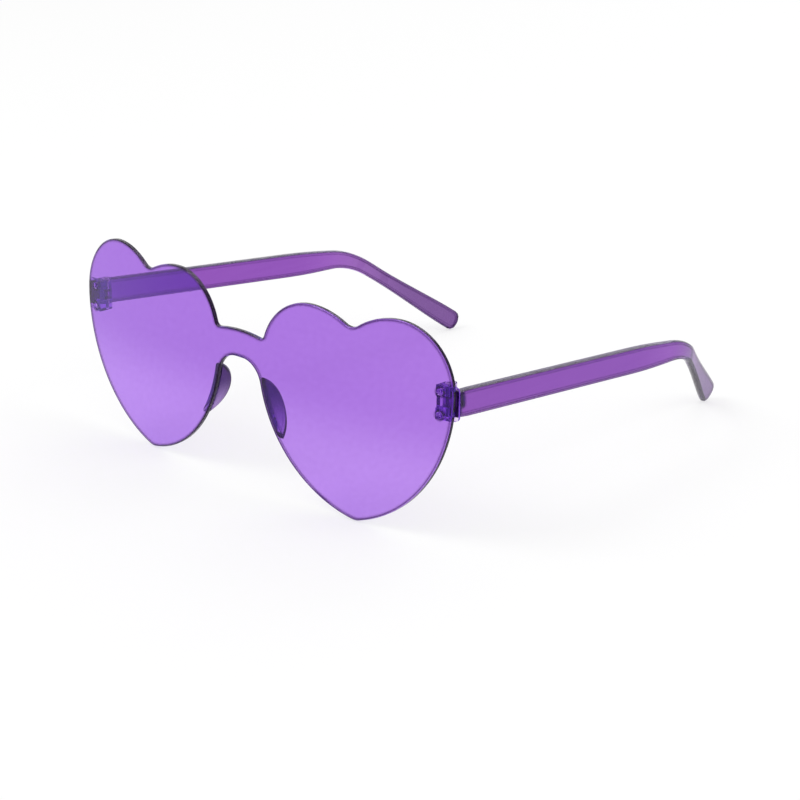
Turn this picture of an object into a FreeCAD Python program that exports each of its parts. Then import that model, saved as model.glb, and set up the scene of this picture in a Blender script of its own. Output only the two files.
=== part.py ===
"""Rimless heart shaped sunglasses, in millimetres and degrees.

One moulded shield is both hearts and the bridge. Two nose pads are bonded behind its nose edges, and two
hinge blocks are pegged through it. A screw in each block carries the tongue of a folding temple.

Every piece is drawn in the frame of the front: X towards the wearer's left, Y back towards the ears, Z up.
The origin there is on the middle of the shield, level with the centres of the hearts. Left pieces are drawn
and right ones are their mirror images. All of them are then set down together on the four points that the
open glasses stand on: the two heart tips and the two temple tips.
"""

import FreeCAD
import Part
import math
import os

Vector = FreeCAD.Vector

# Heart outline: its nose half and its outer half are each a brow, a lobe and a flank arc
heart_spacing = 80.8
nose_lobe_radius = 17.4
nose_lobe_offset = 14.2
nose_lobe_rise = 5.0
nose_brow_radius = 26.2
nose_flank_radius = 39.8
nose_flank_step = 1.3
outer_lobe_radius = 17.4
outer_lobe_offset = 14.9
outer_lobe_rise = 6.3
outer_brow_radius = 22.6
outer_flank_radius = 42.0
notch_radius = 4.1
tip_radius = 5.5

# Shield: a shell of a large sphere, cut to the two hearts and the bridge
shield_radius = 395.0
shield_thickness = 1.4
shield_apex_drop = 6.2
shield_edge_bevel = 0.25
bridge_top = 10.1
bridge_bottom = 2.5
bridge_crown_radius = 45.0
bridge_top_fillet = 1.6
bridge_bottom_fillet = 7.3

# Hinge block: a plate behind the shield with two lugs and two pegs
hinge_level = 4.3
block_height = 9.0
block_depth = 0.6
block_reach = 6.2
block_overhang = 0.6
block_corner = 1.2
knuckle_radius = 1.6
peg_radius = 1.0
peg_spacing = 6.2
peg_inset = 4.6

# Hinge screw
screw_radius = 0.6
screw_head_radius = 1.1
screw_head_height = 0.8
screw_slot_width = 0.35
screw_slot_depth = 0.35
screw_end_recess = 0.3

# Nose pad: a half disc fin behind the nose edge of a heart
pad_thickness = 2.0
pad_radius = 8.9
pad_depth = 5.0
pad_level = 9.4
pad_edge_bevel = 0.5

# Temple: a straight arm, a bend and a hook that widens and twists to a paddle with a square end
tongue_height = 2.9
temple_thickness = 3.0
temple_front_height = 7.0
temple_front_length = 4.0
temple_height = 7.4
hook_neck_height = 4.4
hook_paddle_height = 6.5
hook_end_round = 1.9
hook_thickness = 2.2
temple_length = 100.2
temple_slope_angle = 4.8
temple_toe_in_angle = 2.2
bend_radius = 24.0
hook_length = 45.2
hook_drop_angle = 34.7
hook_toe_in_angle = 25.7
hook_twist_angle = 21.0
arm_corner_round = 0.9

# Clearances between pieces
bond_gap = 0.05
peg_clearance = 0.03
thread_clearance = 0.02
screw_clearance = 0.05
head_clearance = 0.1
tongue_clearance = 0.15
knuckle_clearance = 0.15
side_clearance = 0.3
stop_gap = 0.15

# Cutting tools run past what they cut by this much
overrun = 5.0

# Where the temple narrows, as shares of its straight run and of its hook, and how its front end swells
narrowing_share = 0.8
neck_share = 0.14
front_middle_share = 0.6
corner_limit_share = 0.4

# Spans of each lofted run of the temple, and flats round its corners and its end
loft_spans = 4
corner_flats = 2
end_flats = 3

# Steps that bring both pairs of resting points to one level
stance_steps = 5

# Places that follow from the sizes above
nose_half_width = nose_lobe_offset + nose_lobe_radius + nose_flank_step
outer_half_width = outer_lobe_offset + outer_lobe_radius
rear_radius = shield_radius - shield_thickness
shield_centre = Vector(0, shield_radius, -shield_apex_drop)
outer_x = heart_spacing / 2 + outer_half_width + block_overhang
block_top = hinge_level + block_height / 2
block_foot = hinge_level - block_height / 2
lug_inner = tongue_height / 2 + tongue_clearance


def rear_face_y(x, z):
    """How far back the rear face of the shield is at a place on it."""
    reach = math.hypot(x - shield_centre.x, z - shield_centre.z)
    return shield_centre.y - math.sqrt(rear_radius**2 - reach**2)


block_back = rear_face_y(outer_x, hinge_level) + block_depth
pin_x = outer_x - temple_thickness - side_clearance - knuckle_radius
pin_y = block_back + knuckle_clearance + knuckle_radius


def arc(centre, start, end):
    """The shorter arc between two points about a centre."""
    middle = (start - centre) + (end - centre)
    middle.normalize()
    return Part.Arc(start, centre + middle * (start - centre).Length, end).toShape()


def mirrored(point):
    return Vector(-point.x, point.y, point.z)


def toward(centre, target, distance):
    """The point at a distance from a centre, on the way to a target."""
    way = target - centre
    way.normalize()
    return centre + way * distance


def ball(radius):
    return Part.makeSphere(radius, shield_centre)


def upright(radius, x, y, low, high):
    """A cylinder along Z."""
    return Part.makeCylinder(radius, high - low, Vector(x, y, low))


def block(low, high):
    """A box between two corners."""
    size = high - low
    return Part.makeBox(size.x, size.y, size.z, low)


def along(edge, axis):
    """True for a straight edge that is parallel to an axis."""
    if edge.Curve.TypeId != "Part::GeomLine":
        return False
    way = edge.Curve.Direction
    return abs(way.dot(axis)) > 1 - Part.Precision.confusion()


def near(value, target):
    return abs(value - target) < Part.Precision.approximation()


def meeting(first, first_reach, second, second_reach, rise):
    """The upper (rise 1) or lower (rise -1) point at given distances from two centres in the XZ plane."""
    way = second - first
    gap = way.Length
    way.normalize()
    run = (first_reach**2 - second_reach**2 + gap**2) / (2 * gap)
    upward = Vector(-way.z, 0, way.x) * math.copysign(1, way.x)
    return first + way * run + upward * (rise * math.sqrt(first_reach**2 - run**2))


def nose_flank_centre():
    """Centre of the arc of the left heart's nose edge."""
    return Vector(heart_spacing / 2 - nose_half_width + nose_flank_radius, 0, nose_lobe_rise)


def heart_wire():
    """Closed outline of the left heart in the XZ plane. Its one step, by the nose, is inside the bridge."""
    middle = heart_spacing / 2
    nose_lobe = Vector(middle - nose_lobe_offset, 0, nose_lobe_rise)
    nose_crown = nose_lobe + Vector(0, 0, nose_lobe_radius)
    nose_brow = nose_crown - Vector(0, 0, nose_brow_radius)
    nose_side = nose_lobe - Vector(nose_lobe_radius, 0, 0)
    nose_flank = nose_flank_centre()
    nose_step = nose_flank - Vector(nose_flank_radius, 0, 0)
    outer_lobe = Vector(middle + outer_lobe_offset, 0, outer_lobe_rise)
    outer_crown = outer_lobe + Vector(0, 0, outer_lobe_radius)
    outer_brow = outer_crown - Vector(0, 0, outer_brow_radius)
    outer_side = outer_lobe + Vector(outer_lobe_radius, 0, 0)
    outer_flank = outer_side - Vector(outer_flank_radius, 0, 0)
    nose_reach = nose_brow_radius + notch_radius
    outer_reach = outer_brow_radius + notch_radius
    notch = meeting(nose_brow, nose_reach, outer_brow, outer_reach, 1)
    nose_reach = nose_flank_radius - tip_radius
    outer_reach = outer_flank_radius - tip_radius
    tip = meeting(nose_flank, nose_reach, outer_flank, outer_reach, -1)
    nose_notch = toward(nose_brow, notch, nose_brow_radius)
    outer_notch = toward(outer_brow, notch, outer_brow_radius)
    nose_tip = toward(nose_flank, tip, nose_flank_radius)
    outer_tip = toward(outer_flank, tip, outer_flank_radius)
    edges = [
        arc(nose_brow, nose_notch, nose_crown),
        arc(nose_lobe, nose_crown, nose_side),
        Part.LineSegment(nose_side, nose_step).toShape(),
        arc(nose_flank, nose_step, nose_tip),
        arc(tip, nose_tip, outer_tip),
        arc(outer_flank, outer_tip, outer_side),
        arc(outer_lobe, outer_side, outer_crown),
        arc(outer_brow, outer_crown, outer_notch),
        arc(notch, outer_notch, nose_notch),
    ]
    return Part.Wire(edges)


def front_outline():
    """Prism of both hearts and the crowned bridge, deep enough to hold the curved shield."""
    depth = block_back + overrun
    heart = Part.Face(heart_wire())
    heart.translate(Vector(0, -overrun, 0))
    left = heart.extrude(Vector(0, depth + overrun, 0))
    right = left.mirror(Vector(0, 0, 0), Vector(1, 0, 0))
    bridge_half = heart_spacing / 2 - nose_lobe_offset
    bridge = block(Vector(-bridge_half, -overrun, bridge_bottom), Vector(bridge_half, depth, bridge_top))
    crown_centre = Vector(0, -overrun, bridge_top - bridge_crown_radius)
    crown = Part.makeCylinder(bridge_crown_radius, depth + overrun, crown_centre, Vector(0, 1, 0))
    prism = left.fuse([right, bridge.common(crown)]).removeSplitter()
    middle = (bridge_top + bridge_bottom) / 2
    for side, radius in ((1, bridge_top_fillet), (-1, bridge_bottom_fillet)):
        corners = [
            edge
            for edge in prism.Edges
            if at_bridge(edge) and side * (edge.Vertexes[0].Z - middle) > 0
        ]
        prism = prism.makeFillet(radius, corners)
    return prism


def at_bridge(edge):
    """True for an edge of the front's prism where the bridge meets a heart."""
    inside = heart_spacing / 2 - nose_lobe_offset - nose_lobe_radius / 2
    return along(edge, Vector(0, 1, 0)) and abs(edge.Vertexes[0].X) < inside


def peg_places():
    x = outer_x - peg_inset
    return [Vector(x, 0, hinge_level + side * peg_spacing / 2) for side in (1, -1)]


def peg(place, radius):
    start = place - Vector(0, overrun, 0)
    return Part.makeCylinder(radius, block_back + overrun, start, Vector(0, 1, 0))


def lens_shield():
    """The one piece front lens, with a bevelled rim and a pair of peg holes at each end."""
    shield = front_outline().common(ball(shield_radius)).cut(ball(rear_radius))
    rims = [edge for edge in shield.Edges if on_rim(edge)]
    shield = shield.makeChamfer(shield_edge_bevel, rims)
    for place in peg_places():
        for spot in (place, mirrored(place)):
            shield = shield.cut(peg(spot, peg_radius + peg_clearance))
    return shield


def on_rim(edge):
    """True for an edge that lies on the front or the rear sphere of the shield."""
    spots = [vertex.Point for vertex in edge.Vertexes]
    spots.append(edge.valueAt((edge.FirstParameter + edge.LastParameter) / 2))
    for radius in (shield_radius, rear_radius):
        if all(near((spot - shield_centre).Length, radius) for spot in spots):
            return True
    return False


def lug(low, high):
    """One fixed knuckle, from the plate to round the screw."""
    root = block(
        Vector(pin_x - knuckle_radius, 0, low),
        Vector(pin_x + knuckle_radius, pin_y, high),
    )
    return root.fuse(upright(knuckle_radius, pin_x, pin_y, low, high)).removeSplitter()


def hinge_block():
    """Plate, two lugs and two pegs in one moulding, seated on the rear face of the shield."""
    plate = block(
        Vector(outer_x - block_reach, 0, block_foot),
        Vector(outer_x, block_back, block_top),
    )
    plate = plate.makeFillet(block_corner, [edge for edge in plate.Edges if along(edge, Vector(0, 1, 0))])
    lugs = [lug(hinge_level + lug_inner, block_top), lug(block_foot, hinge_level - lug_inner)]
    body = plate.fuse(lugs).common(ball(rear_radius - bond_gap))
    pegs = [peg(place, peg_radius).common(ball(shield_radius)) for place in peg_places()]
    pegs = [one.cut(behind_plate()) for one in pegs]
    body = body.fuse(pegs).removeSplitter()
    bore = upright(screw_radius + thread_clearance, pin_x, pin_y, block_foot - overrun, block_top)
    seat = block_top - screw_head_height
    seat = upright(screw_head_radius + head_clearance, pin_x, pin_y, seat, block_top + overrun)
    return body.cut([bore, seat])


def behind_plate():
    """Everything behind the middle of the plate, where a peg has no place."""
    start = block_back - block_depth / 2
    return block(
        Vector(outer_x - block_reach - overrun, start, block_foot - overrun),
        Vector(outer_x + overrun, block_back + overrun + overrun, block_top + overrun),
    )


def hinge_screw():
    """Slotted screw, head down in the upper lug and end just inside the lower one."""
    head_seat = block_top - screw_head_height
    head = upright(screw_head_radius, pin_x, pin_y, head_seat, block_top)
    shank = upright(screw_radius, pin_x, pin_y, block_foot + screw_end_recess, block_top)
    slot_half = screw_slot_width / 2
    slot = block(
        Vector(pin_x - screw_head_radius - overrun, pin_y - slot_half, block_top - screw_slot_depth),
        Vector(pin_x + screw_head_radius + overrun, pin_y + slot_half, block_top + overrun),
    )
    return head.fuse(shank).removeSplitter().cut(slot)


def nose_pad():
    """Half disc fin whose nose face carries on from the cut edge of the shield."""
    centre = nose_flank_centre()
    back = pad_radius + rear_face_y(heart_spacing / 2, pad_level) + overrun
    edge_tube = Part.makeCylinder(nose_flank_radius, back, centre, Vector(0, 1, 0))
    hollow = Part.makeCylinder(nose_flank_radius - pad_thickness, back, centre, Vector(0, 1, 0))
    nose_edge_x = heart_spacing / 2 - nose_half_width
    disc_y = rear_face_y(nose_edge_x, -pad_level) + pad_depth - pad_radius
    disc = Part.makeCylinder(pad_radius, heart_spacing / 2, Vector(0, disc_y, -pad_level), Vector(1, 0, 0))
    fin = edge_tube.cut(hollow).common(disc)
    soft = [edge for edge in fin.Edges if not along(edge, Vector(0, 1, 0))]
    fin = fin.makeChamfer(pad_edge_bevel, soft)
    return fin.common(ball(rear_radius - bond_gap))


def direction(drop_angle, toe_in_angle):
    """Unit vector that goes back, down by one angle and in towards the wearer by another."""
    flat = math.cos(math.radians(drop_angle))
    return Vector(
        -flat * math.sin(math.radians(toe_in_angle)),
        flat * math.cos(math.radians(toe_in_angle)),
        -math.sin(math.radians(drop_angle)),
    )


arm_start = Vector(outer_x - temple_thickness / 2, block_back + stop_gap, hinge_level)
arm_way = direction(temple_slope_angle, temple_toe_in_angle)
hook_way = direction(hook_drop_angle, hook_toe_in_angle)
bend_turn = arm_way.getAngle(hook_way)
bend_corner = bend_radius * math.tan(bend_turn / 2)
straight_run = temple_length - bend_corner
bend_run = bend_radius * bend_turn
hook_run = hook_length - bend_corner - hook_end_round
arm_run = straight_run + bend_run + hook_run
narrowing = narrowing_share * straight_run


def on_arm(distance):
    """Point and direction on the middle line of the temple, at a distance from its front end."""
    inward = hook_way - arm_way * arm_way.dot(hook_way)
    inward.normalize()
    angle = min(max((distance - straight_run) / bend_radius, 0), bend_turn)
    point = arm_start + arm_way * (min(distance, straight_run) + bend_radius * math.sin(angle))
    point = point + inward * (bend_radius * (1 - math.cos(angle)))
    point = point + hook_way * max(distance - straight_run - bend_run, 0)
    return point, arm_way * math.cos(angle) + inward * math.sin(angle)


def eased(start, end, share):
    """A size that leaves one value and settles on another without a corner."""
    return start + (end - start) * (1 - math.cos(math.pi * share)) / 2


def arm_size(distance):
    """Height and thickness of the temple: even at first, then a neck, then a paddle."""
    neck = straight_run + bend_run + neck_share * hook_run
    if distance < neck:
        share = max(distance - narrowing, 0) / (neck - narrowing)
        return eased(temple_height, hook_neck_height, share), eased(temple_thickness, hook_thickness, share)
    share = min((distance - neck) / (arm_run - neck), 1)
    return eased(hook_neck_height, hook_paddle_height, share), hook_thickness


def section_axes(way, twist):
    """Directions across the thickness and up the height of a section of the temple, turned by a twist."""
    side = way.cross(Vector(0, 0, 1))
    side.normalize()
    turn = FreeCAD.Rotation(way, twist)
    return turn.multVec(side), turn.multVec(side.cross(way))


def section(point, way, height, thickness, twist):
    """Closed wire across the temple: a rectangle whose corners are each softened by a few flats."""
    side, rise = section_axes(way, twist)
    corner = min(arm_corner_round, corner_limit_share * min(height, thickness))
    points = []
    for quarter, (right, top) in enumerate(((1, 1), (-1, 1), (-1, -1), (1, -1))):
        centre = point + side * (right * (thickness / 2 - corner)) + rise * (top * (height / 2 - corner))
        for flat in range(corner_flats + 1):
            angle = math.pi / 2 * (quarter + flat / corner_flats)
            points.append(centre + side * (corner * math.cos(angle)) + rise * (corner * math.sin(angle)))
    return Part.makePolygon(points + points[:1])


def arm_section(distance, loss=0):
    """Section of the temple at a distance, its height less a loss. The hook twists, lower edge inward."""
    height, thickness = arm_size(distance)
    share = min(max(distance - straight_run, 0) / (arm_run - straight_run), 1)
    return section(*on_arm(distance), height - loss, thickness, share * hook_twist_angle)


def hook_end():
    """The last of the hook, whose upper and lower corners are each rounded off by a few flats."""
    wires = []
    for flat in range(end_flats + 1):
        angle = math.pi / 2 * flat / end_flats
        loss = 2 * hook_end_round * (1 - math.cos(angle))
        wires.append(arm_section(arm_run + hook_end_round * math.sin(angle), loss))
    return Part.makeLoft(wires, True, True)


def temple_arm():
    """The arm from its front end, swelling to its full height, to the square end of its paddle."""
    middle_height = temple_front_height + front_middle_share * (temple_height - temple_front_height)
    first = section(arm_start, Vector(0, 1, 0), temple_front_height, temple_thickness, 0)
    middle = section(*on_arm(temple_front_length / 2), middle_height, temple_thickness, 0)
    even = arm_section(temple_front_length)
    front = Part.makeLoft([first, middle, even], True, False)
    straight = Part.Face(even).extrude(arm_way * (narrowing - temple_front_length))
    bend_end = straight_run + bend_run
    runs = [(narrowing, straight_run), (straight_run, bend_end), (bend_end, arm_run)]
    return straight.fuse([front] + [arm_loft(*run) for run in runs] + [hook_end()])


def arm_loft(start, end):
    """The temple between two distances from its front end, through evenly spaced sections."""
    span = (end - start) / loft_spans
    return Part.makeLoft([arm_section(start + span * step) for step in range(loft_spans + 1)], True, False)


def temple():
    """Arm and tongue in one moulding, bored for the screw."""
    low = hinge_level - tongue_height / 2
    high = hinge_level + tongue_height / 2
    root_x = outer_x - temple_thickness / 2
    web = block(Vector(pin_x, pin_y - knuckle_radius, low), Vector(root_x, pin_y + knuckle_radius, high))
    body = temple_arm().fuse([web, upright(knuckle_radius, pin_x, pin_y, low, high)])
    return body.cut(upright(screw_radius + screw_clearance, pin_x, pin_y, low - overrun, high + overrun))


def lowest(shape):
    return shape.optimalBoundingBox(False).ZMin


def stance(front, arm):
    """Placement that stands the open glasses on their four tips, middle of their box over the origin."""
    reach = arm.optimalBoundingBox(False).YMax
    lean = 0.0
    for _ in range(stance_steps):
        turn = FreeCAD.Rotation(Vector(1, 0, 0), lean)
        pose = FreeCAD.Placement(Vector(0, 0, 0), turn)
        heart_low = lowest(front.transformed(pose.toMatrix()))
        arm_low = lowest(arm.transformed(pose.toMatrix()))
        lean += math.degrees(math.atan2(heart_low - arm_low, reach))
    pose = FreeCAD.Placement(Vector(0, 0, 0), FreeCAD.Rotation(Vector(1, 0, 0), lean))
    box = front.transformed(pose.toMatrix()).optimalBoundingBox(False)
    box.add(arm.transformed(pose.toMatrix()).optimalBoundingBox(False))
    pose.Base = Vector(0, -(box.YMin + box.YMax) / 2, -box.ZMin)
    return pose


def pieces():
    """Every piece by its node's name, in the frame of the front, and the placement that sets them down."""
    shield = lens_shield()
    arm = temple()
    drawn = {
        "hinge_block": hinge_block(),
        "hinge_screw": hinge_screw(),
        "nose_pad": nose_pad(),
        "temple": arm,
    }
    made = {"lens_shield": shield}
    for name, shape in drawn.items():
        made[name + "_left"] = shape
        made[name + "_right"] = shape.mirror(Vector(0, 0, 0), Vector(1, 0, 0))
    return made, stance(shield, arm)


def main():
    os.makedirs("parts", exist_ok=True)
    made, pose = pieces()
    for name, shape in made.items():
        placed = shape.transformed(pose.toMatrix())
        solids = placed.Solids
        state = "valid" if placed.isValid() else "not valid"
        print(name, len(solids), "solid", round(placed.Volume, 2), "mm3", state)
        Part.makeCompound(solids).exportStep(os.path.join("parts", name + ".step"))


if __name__ == "__main__":
    main()
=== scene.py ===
import math

import bmesh
import bpy
from mathutils import Matrix, Vector


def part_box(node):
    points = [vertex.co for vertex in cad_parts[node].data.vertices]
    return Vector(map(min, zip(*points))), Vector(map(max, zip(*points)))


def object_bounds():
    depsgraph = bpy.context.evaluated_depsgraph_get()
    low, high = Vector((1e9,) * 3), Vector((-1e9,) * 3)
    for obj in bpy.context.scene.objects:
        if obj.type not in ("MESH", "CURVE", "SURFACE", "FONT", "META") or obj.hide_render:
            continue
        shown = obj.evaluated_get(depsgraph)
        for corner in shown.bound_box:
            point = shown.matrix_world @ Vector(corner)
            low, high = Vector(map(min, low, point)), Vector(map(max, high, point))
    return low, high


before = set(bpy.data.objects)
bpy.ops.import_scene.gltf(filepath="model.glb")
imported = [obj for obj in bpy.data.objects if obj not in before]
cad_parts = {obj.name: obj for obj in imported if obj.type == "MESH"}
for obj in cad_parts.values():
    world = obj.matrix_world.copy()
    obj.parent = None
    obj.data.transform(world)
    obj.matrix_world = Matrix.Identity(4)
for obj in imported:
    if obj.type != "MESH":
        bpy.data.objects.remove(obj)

# The looks of a pair of clear purple heart shaped sunglasses, in metres and degrees
cad_low, cad_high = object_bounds()
millimetre = 0.001
right_angle = 90.0
matrix_size = 4
white = (1.0, 1.0, 1.0, 1.0)

# Camera: its place, the way it looks, how near it sees, and its lens and sensor in millimetres
camera_place = Vector((442.1, -460.3, 234.4)) * millimetre
camera_azimuth = 44.43
camera_elevation = 19.72
camera_roll = -0.66
camera_near = 0.01
camera_lens = 103.27
camera_sensor = 36.0

# Clear plastic: what a millimetre takes off red, green and blue, as natural logarithms, and its refraction
shield_loss = (0.365, 0.755, 0.05)
arm_loss = (0.37, 0.73, 0.21)
block_loss = (0.20, 0.36, 0.06)
pad_loss = (0.35, 0.55, 0.18)
loss_headroom = 1.1
plastic_ior = 1.5
block_ior = 1.25

# Tints that drift: up the shield, where painted light from the white floor makes it paler at its foot, back
# along the temples and up the pads, and where each starts and ends
painted_light_tint = (0.98, 0.97, 0.99, 1.0)
deep_tint = (0.756, 0.63, 0.84, 1.0)
hook_tint = (0.50, 0.56, 0.52, 1.0)
# The pads' deep top is a painted shade, and their clear foot a painted light
pad_painted_shade = (0.12, 0.05, 0.22, 1.0)
shield_drift_shares = (0.24, 0.62)
arm_drift_shares = (0.68, 0.90)
pad_drift_shares = (0.0, 0.7)

# Edges of the plastic: their painted shade, a darker tint where the plastic seen end on looks dark, their
# width and polish, and the cosines of the turn that is all edge and none
edge_painted_shade = (0.06, 0.02, 0.10, 1.0)
edge_width = 0.0013
edge_roughness = 0.1
edge_full_cosine = 0.975
edge_none_cosine = 0.9992
edge_samples = 8
edge_strength = 0.95
pad_edge_strength = 0.5

# Polish of the plastic: its roughness, how far smudges and hairlines move it, and the tint of its gloss
polish_roughness = 0.02
block_roughness = 0.14
smudge_roughness = 0.035
smudge_size = 0.012
hairline_size = 0.0006
hairline_stretch = 18.0
hairline_depth = 0.000002
gloss_tint = (0.60, 0.35, 0.90, 1.0)

# Marks of the mould: a slow ripple of the faces, and lines where the plastic flowed
ripple_size = 0.02
ripple_depth = 0.00002
flow_tint = (0.80, 0.66, 0.86, 1.0)
flow_size = 0.0016
flow_stretch = 14.0
flow_strength = 0.5

# Detail of every noise
noise_detail = 2.0

# Steel of the hinge screws
steel_colour = (0.62, 0.62, 0.65, 1.0)
steel_dark_colour = (0.36, 0.35, 0.38, 1.0)
steel_roughness = 0.28
steel_roughness_swing = 0.14
grime_size = 0.0015
turning_pitch = 0.00012
turning_depth = 0.000004
turning_wobble = 1.0

# Length after which a wave pattern of scale 1 repeats
wave_period = math.pi / 10

# Studio: floor, world and lamps, with the lamps' power in watts
floor_radius = 5.0
floor_sides = 96
floor_drop = 0.0002
floor_colour = (0.35, 0.35, 0.35, 1.0)
floor_glow = 0.65
world_fill = 0.7
background_strength = 1.0
lamp_settings = {
    "key_softbox": {"place": (-0.55, -0.75, 1.05), "size": 0.7, "power": 4.8},
    "side_softbox": {"place": (0.95, 0.25, 0.75), "size": 0.6, "power": 2.4},
    "rear_softbox": {"place": (-0.2, 0.95, 0.8), "size": 0.8, "power": 2.0},
}
lamp_aim = Vector((0.0, 0.0, 0.03))

# Sockets of a node that mixes two colours
mix_share = 0
mix_first = 6
mix_second = 7
mix_result = 2


class Tree:
    """A node tree, with short calls to add nodes and join them."""

    def __init__(self, tree):
        self.nodes = tree.nodes
        self.links = tree.links
        self.nodes.clear()

    def add(self, kind, **settings):
        """A new node of a kind, with settings of its own."""
        node = self.nodes.new(kind)
        for name, value in settings.items():
            setattr(node, name, value)
        return node

    def join(self, source, target):
        self.links.new(source, target)

    def feed(self, socket, value):
        """Sets a socket, by a link where the value is another node's output."""
        if isinstance(value, bpy.types.NodeSocket):
            self.join(value, socket)
        else:
            socket.default_value = value

    def fill(self, node, values):
        """Feeds the inputs of a node by their names."""
        for name, value in values.items():
            self.feed(node.inputs[name], value)

    def show(self, surface, volume=None, kind="ShaderNodeOutputMaterial"):
        """Sends a surface, and a volume where there is one, to the tree's output."""
        output = self.add(kind)
        self.join(surface, output.inputs["Surface"])
        if volume is not None:
            self.join(volume, output.inputs["Volume"])

    def calculate(self, operation, first, second):
        """A number worked out from two others."""
        node = self.add("ShaderNodeMath", operation=operation)
        self.feed(node.inputs[0], first)
        self.feed(node.inputs[1], second)
        return node.outputs[0]

    def remap(self, value, low, high, to_low, to_high):
        """A number moved smoothly from one range to another."""
        node = self.add("ShaderNodeMapRange", interpolation_type="SMOOTHSTEP")
        ends = {"From Min": low, "From Max": high, "To Min": to_low, "To Max": to_high}
        self.fill(node, {"Value": value, **ends})
        return node.outputs["Result"]

    def blend(self, share, first, second, way="MIX"):
        """A colour between two others, or another blend of them, by a share."""
        node = self.add("ShaderNodeMix", data_type="RGBA", blend_type=way)
        for socket, value in ((mix_share, share), (mix_first, first), (mix_second, second)):
            self.feed(node.inputs[socket], value)
        return node.outputs[mix_result]

    def noise(self, place, size, stretch=(1.0, 1.0, 1.0)):
        """Noise whose features are about a size across, drawn out along each axis by a stretch."""
        scaled = self.add("ShaderNodeVectorMath", operation="DIVIDE")
        self.feed(scaled.inputs[0], place)
        self.feed(scaled.inputs[1], [size * factor for factor in stretch])
        node = self.add("ShaderNodeTexNoise")
        self.fill(node, {"Vector": scaled.outputs[0], "Scale": 1.0, "Detail": noise_detail})
        return node.outputs["Fac"]

    def bump(self, height, depth, below=None):
        """A bump from a height between 0 and 1, laid over another where one is given."""
        node = self.add("ShaderNodeBump")
        self.fill(node, {"Height": height, "Distance": depth})
        if below is not None:
            self.join(below, node.inputs["Normal"])
        return node.outputs["Normal"]


def new_material(name):
    """A material with an empty node tree."""
    material = bpy.data.materials.new(name)
    material.use_nodes = True
    return material, Tree(material.node_tree)


def edge_share(tree):
    """1 along the edges of a piece, where a rounded surface would turn, fading to 0 inside them."""
    rounded = tree.add("ShaderNodeBevel", samples=edge_samples)
    tree.fill(rounded, {"Radius": edge_width})
    turn = tree.add("ShaderNodeVectorMath", operation="DOT_PRODUCT")
    tree.join(rounded.outputs["Normal"], turn.inputs[0])
    tree.join(tree.add("ShaderNodeNewGeometry").outputs["True Normal"], turn.inputs[1])
    cosine = tree.add("ShaderNodeMath", operation="ABSOLUTE")
    tree.join(turn.outputs["Value"], cosine.inputs[0])
    return tree.remap(cosine.outputs[0], edge_full_cosine, edge_none_cosine, 1.0, 0.0)


def drifting_tint(tree, place, axis, start, end, start_tint, end_tint):
    """A tint that drifts from one colour to another between two places along an axis."""
    split = tree.add("ShaderNodeSeparateXYZ")
    tree.join(place, split.inputs[0])
    return tree.blend(tree.remap(split.outputs[axis], start, end, 0.0, 1.0), start_tint, end_tint)


def absorption(tree, loss):
    """Volume that takes a loss off each colour, with headroom that keeps its own colour above black."""
    density = loss_headroom * max(loss) / millimetre
    kept = [1.0 - part / millimetre / density for part in loss]
    volume = tree.add("ShaderNodeVolumeAbsorption")
    tree.fill(volume, {"Color": kept + [1.0], "Density": density})
    return volume.outputs[0]


def clear_plastic(name, loss, drift=None, edges=edge_strength, roughness=polish_roughness, ior=plastic_ior):
    """Clear plastic that is darker the further light goes in it.

    Its tint has faint lines where the plastic flowed in its mould, and may drift along an axis. Its edges
    may be darkened by a painted shade and made less polished. Smudges and fine hairlines vary its polish,
    and a faint ripple of the mould bends what shows through it.
    """
    material, tree = new_material(name)
    place = tree.add("ShaderNodeTexCoord").outputs["Object"]
    flow = tree.noise(place, flow_size, (1.0, flow_stretch, 1.0))
    tint = tree.blend(tree.calculate("MULTIPLY", flow, flow_strength), white, flow_tint)
    if drift is not None:
        tint = tree.blend(1.0, tint, drifting_tint(tree, place, *drift), "MULTIPLY")
    smudge = tree.noise(place, smudge_size)
    hairline = tree.noise(place, hairline_size, (hairline_stretch, hairline_stretch, 1.0))
    marks = tree.calculate("MULTIPLY", smudge, hairline)
    rough = tree.calculate("ADD", tree.calculate("MULTIPLY", marks, smudge_roughness), roughness)
    if edges > 0:
        # Painted shade: the edges take a darker tint, where the plastic seen end on looks dark, and the
        # same share makes them rougher
        edge = tree.calculate("MULTIPLY", edge_share(tree), edges)
        tint = tree.blend(edge, tint, edge_painted_shade)
        rough = tree.calculate("ADD", rough, tree.calculate("MULTIPLY", edge, edge_roughness))
    ripple = tree.bump(tree.noise(place, ripple_size), ripple_depth)
    shader = tree.add("ShaderNodeBsdfPrincipled")
    tree.fill(shader, {
        "Base Color": tint,
        "Roughness": rough,
        "Normal": tree.bump(hairline, hairline_depth, ripple),
        "Transmission Weight": 1.0,
        "IOR": ior,
        "Specular Tint": gloss_tint,
    })
    tree.show(shader.outputs[0], absorption(tree, loss))
    return material


def places(low, high, shares):
    """Places between two ends, by their shares of the way."""
    return [low + share * (high - low) for share in shares]


def shield_plastic():
    """Plastic of the hearts, paler towards their tips by painted light, as the white floor below lights
    them.
    """
    low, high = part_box("lens_shield")
    drift = ("Z", *places(low.z, high.z, shield_drift_shares), painted_light_tint, deep_tint)
    return clear_plastic("shield_plastic", shield_loss, drift)


def arm_plastic():
    """Plastic of the temples, greyer in their hooks."""
    drift = ("Y", *places(cad_low.y, cad_high.y, arm_drift_shares), white, hook_tint)
    return clear_plastic("arm_plastic", arm_loss, drift)


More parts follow.
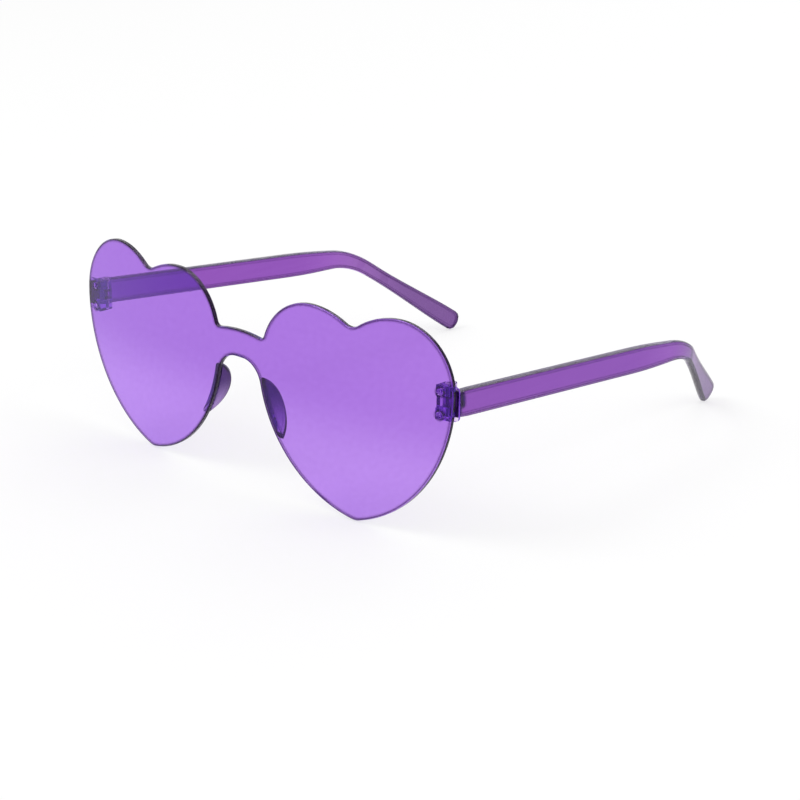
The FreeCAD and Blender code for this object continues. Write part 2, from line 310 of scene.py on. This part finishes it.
def pad_plastic():
    """Plastic of the nose pads, with painted shade that makes them deep at the top and painted light that
    makes them clear at the foot.
    """
    low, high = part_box("nose_pad_left")
    drift = ("Z", *places(low.z, high.z, pad_drift_shares), white, pad_painted_shade)
    return clear_plastic("pad_plastic", pad_loss, drift, edges=pad_edge_strength)


def block_plastic():
    """Plastic of the hinge blocks, with the dull skin of the mould and even edges."""
    return clear_plastic("block_plastic", block_loss, edges=0, roughness=block_roughness, ior=block_ior)


def turned_steel(name, centre):
    """Bright steel with the rings of turning round an upright axis, and darker grime in patches."""
    material, tree = new_material(name)
    place = tree.add("ShaderNodeTexCoord").outputs["Object"]
    moved = tree.add("ShaderNodeVectorMath", operation="SUBTRACT")
    tree.feed(moved.inputs[0], place)
    tree.feed(moved.inputs[1], centre)
    rings = tree.add("ShaderNodeTexWave", wave_type="RINGS", rings_direction="Z")
    scale = wave_period / turning_pitch
    tree.fill(rings, {"Vector": moved.outputs[0], "Scale": scale, "Distortion": turning_wobble})
    grime = tree.noise(place, grime_size)
    swing = tree.calculate("MULTIPLY", grime, steel_roughness_swing)
    shader = tree.add("ShaderNodeBsdfPrincipled")
    tree.fill(shader, {
        "Base Color": tree.blend(grime, steel_colour, steel_dark_colour),
        "Roughness": tree.calculate("ADD", swing, steel_roughness),
        "Normal": tree.bump(rings.outputs["Fac"], turning_depth),
        "Metallic": 1.0,
    })
    tree.show(shader.outputs[0])
    return material


def dress(node, material):
    """Gives a node of the model a material."""
    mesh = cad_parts[node].data
    mesh.materials.clear()
    mesh.materials.append(material)


def dress_glasses():
    """Gives every piece its material. Each screw has its own, for its rings are round its own axis."""
    dress("lens_shield", shield_plastic())
    shared = {"nose_pad_": pad_plastic(), "hinge_block_": block_plastic(), "temple_": arm_plastic()}
    for side in ("left", "right"):
        for piece, material in shared.items():
            dress(piece + side, material)
        low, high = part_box("hinge_screw_" + side)
        dress("hinge_screw_" + side, turned_steel("screw_steel_" + side, (low + high) / 2))


def seen_by_eye(tree):
    """1 for rays of the camera and for those that glossy and clear surfaces send on, 0 for the rest."""
    path = tree.add("ShaderNodeLightPath")
    seen = path.outputs["Is Camera Ray"]
    for name in ("Is Glossy Ray", "Is Transmission Ray"):
        seen = tree.calculate("MAXIMUM", seen, path.outputs[name])
    return seen


def floor_paper():
    """Pale paper that shows white where it is lit and keeps soft shadows."""
    material, tree = new_material("floor_paper")
    paper = tree.add("ShaderNodeBsdfDiffuse")
    tree.fill(paper, {"Color": floor_colour})
    glow = tree.add("ShaderNodeEmission")
    tree.fill(glow, {"Strength": tree.calculate("MULTIPLY", seen_by_eye(tree), floor_glow)})
    both = tree.add("ShaderNodeAddShader")
    for slot, part in enumerate((paper, glow)):
        tree.join(part.outputs[0], both.inputs[slot])
    tree.show(both.outputs[0])
    return material


def make_floor():
    """A wide disc of paper, just under the part."""
    mesh = bpy.data.meshes.new("floor")
    shape = bmesh.new()
    bmesh.ops.create_circle(shape, cap_ends=True, segments=floor_sides, radius=floor_radius)
    shape.to_mesh(mesh)
    shape.free()
    mesh.materials.append(floor_paper())
    floor = bpy.data.objects.new("floor", mesh)
    floor.location.z = cad_low.z - floor_drop
    bpy.context.scene.collection.objects.link(floor)


def make_lamps():
    """Soft square lamps round the part, all aimed at it."""
    for name, settings in lamp_settings.items():
        lamp = bpy.data.lights.new(name, "AREA")
        lamp.size = settings["size"]
        lamp.energy = settings["power"]
        holder = bpy.data.objects.new(name, lamp)
        holder.location = settings["place"]
        aim = lamp_aim - holder.location
        holder.rotation_euler = aim.to_track_quat("-Z", "Y").to_euler()
        bpy.context.scene.collection.objects.link(holder)


def make_world():
    """A white surround for the eye, and a softer one that lights the part."""
    world = bpy.data.worlds.new("studio")
    world.use_nodes = True
    tree = Tree(world.node_tree)
    mix = tree.add("ShaderNodeMixShader")
    tree.join(seen_by_eye(tree), mix.inputs[0])
    for slot, strength in enumerate((world_fill, background_strength), start=1):
        surround = tree.add("ShaderNodeBackground")
        tree.fill(surround, {"Color": white, "Strength": strength})
        tree.join(surround.outputs[0], mix.inputs[slot])
    tree.show(mix.outputs[0], kind="ShaderNodeOutputWorld")
    bpy.context.scene.world = world


def make_camera():
    """A camera at its place, turned by its azimuth, its elevation and its roll."""
    data = bpy.data.cameras.new("camera")
    data.sensor_width = camera_sensor
    data.lens = camera_lens
    data.clip_start = camera_near
    data.dof.use_dof = False
    camera = bpy.data.objects.new("camera", data)
    stand = Matrix.Translation(camera_place)
    for angle, axis in ((camera_azimuth, "Z"), (right_angle - camera_elevation, "X"), (camera_roll, "Z")):
        stand = stand @ Matrix.Rotation(math.radians(angle), matrix_size, axis)
    camera.matrix_world = stand
    bpy.context.scene.collection.objects.link(camera)
    bpy.context.scene.camera = camera


dress_glasses()
make_floor()
make_lamps()
make_world()
make_camera()
bpy.context.scene.view_settings.view_transform = "Standard"
